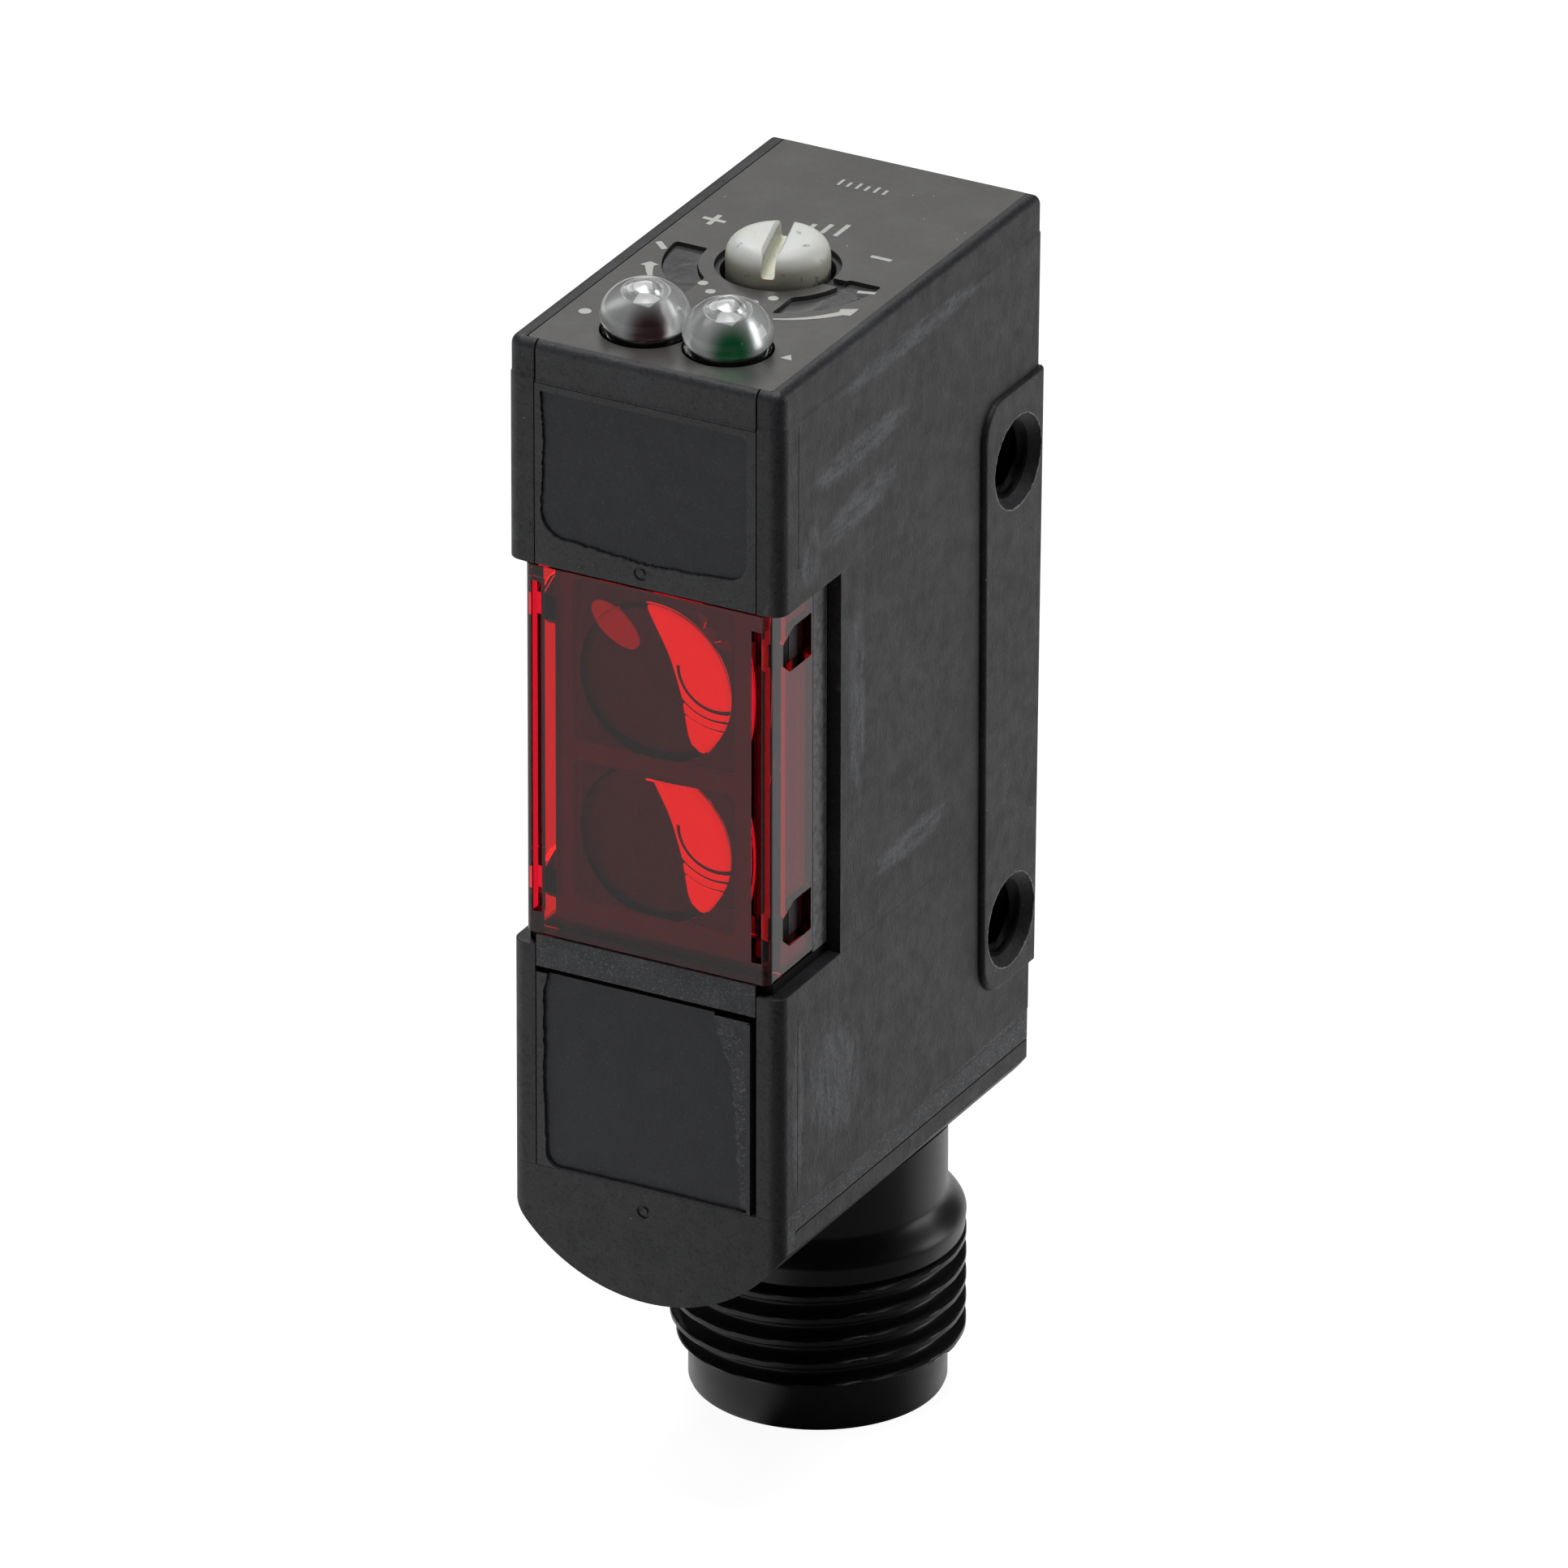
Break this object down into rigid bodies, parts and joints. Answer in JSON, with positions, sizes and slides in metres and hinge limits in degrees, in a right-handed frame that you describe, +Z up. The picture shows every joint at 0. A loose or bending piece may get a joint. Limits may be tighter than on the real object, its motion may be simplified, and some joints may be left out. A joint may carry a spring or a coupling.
{
  "type": "proximity sensor",
  "caption": "Compact block photoelectric proximity sensor: black plastic body, red wrap-round window, top sensitivity screw and indicator domes, threaded plug connector below.",
  "frame": {"origin": "on the connector's mating end plane, under the middle of the body's bounding box", "axes": "+Z up from the connector to the label; the sensing window looks along -Y; the flat mounting sides face +X and -X"},
  "size_m": [0.0126, 0.0218, 0.0525],
  "materials": {
    "housing": "matte glass-filled black, lightly scuffed",
    "frame": "satin black, smooth in the pockets",
    "window": "clear red, polished",
    "optics": "satin black",
    "lens": "clear, polished",
    "label": "satin dark grey film with white print",
    "light_guide": "clear, polished",
    "adjuster": "satin off-white",
    "rubber": "matte black",
    "connector": "satin black",
    "contact": "gold-plated",
    "board": "green solder mask",
    "chip": "moulded black epoxy",
    "ceramic": "fired ceramic",
    "flex": "amber film",
    "wire": "satin insulation",
    "led_green": "tinted green",
    "led_orange": "tinted orange"
  },
  "bodies": {
    "sensor_body": {"main_housing": "housing", "top_insert": "housing", "top_label": "label", "base_cap": "housing", "front_frame": "frame", "red_window": "window", "window_gasket": "rubber", "lens_holder": "optics", "emitter_lens": "lens", "receiver_lens": "lens", "optics_board": "board", "emitter_led": "lens", "receiver_chip": "chip", "main_board": "board", "controller_ic": "chip", "output_driver_ic": "chip", "supply_regulator": "chip", "supply_capacitor": "ceramic", "filter_capacitor": "ceramic", "optics_ribbon": "flex", "indicator_board": "board", "potentiometer_body": "chip", "indicator_led_orange": "led_orange", "indicator_led_green": "led_green", "light_guide": "light_guide", "adjuster_seal": "rubber", "connector_shell": "connector", "connector_seal": "rubber", "contact_insert": "optics", "contact_pin_1": "contact", "contact_pin_2": "contact", "contact_pin_3": "contact", "contact_pin_4": "contact", "pin_lead_1": "wire", "pin_lead_2": "wire", "pin_lead_3": "wire", "pin_lead_4": "wire"},
    "adjuster": {"adjuster_screw": "adjuster", "potentiometer_rotor": "contact"}
  },
  "joints": [
    {"name": "adjuster_turn", "type": "hinge", "parent": "sensor_body", "child": "adjuster", "pos_m": [0, 0, 0.0504], "axis": [0, 0, 1], "range_deg": [-102, 66]}
  ]
}
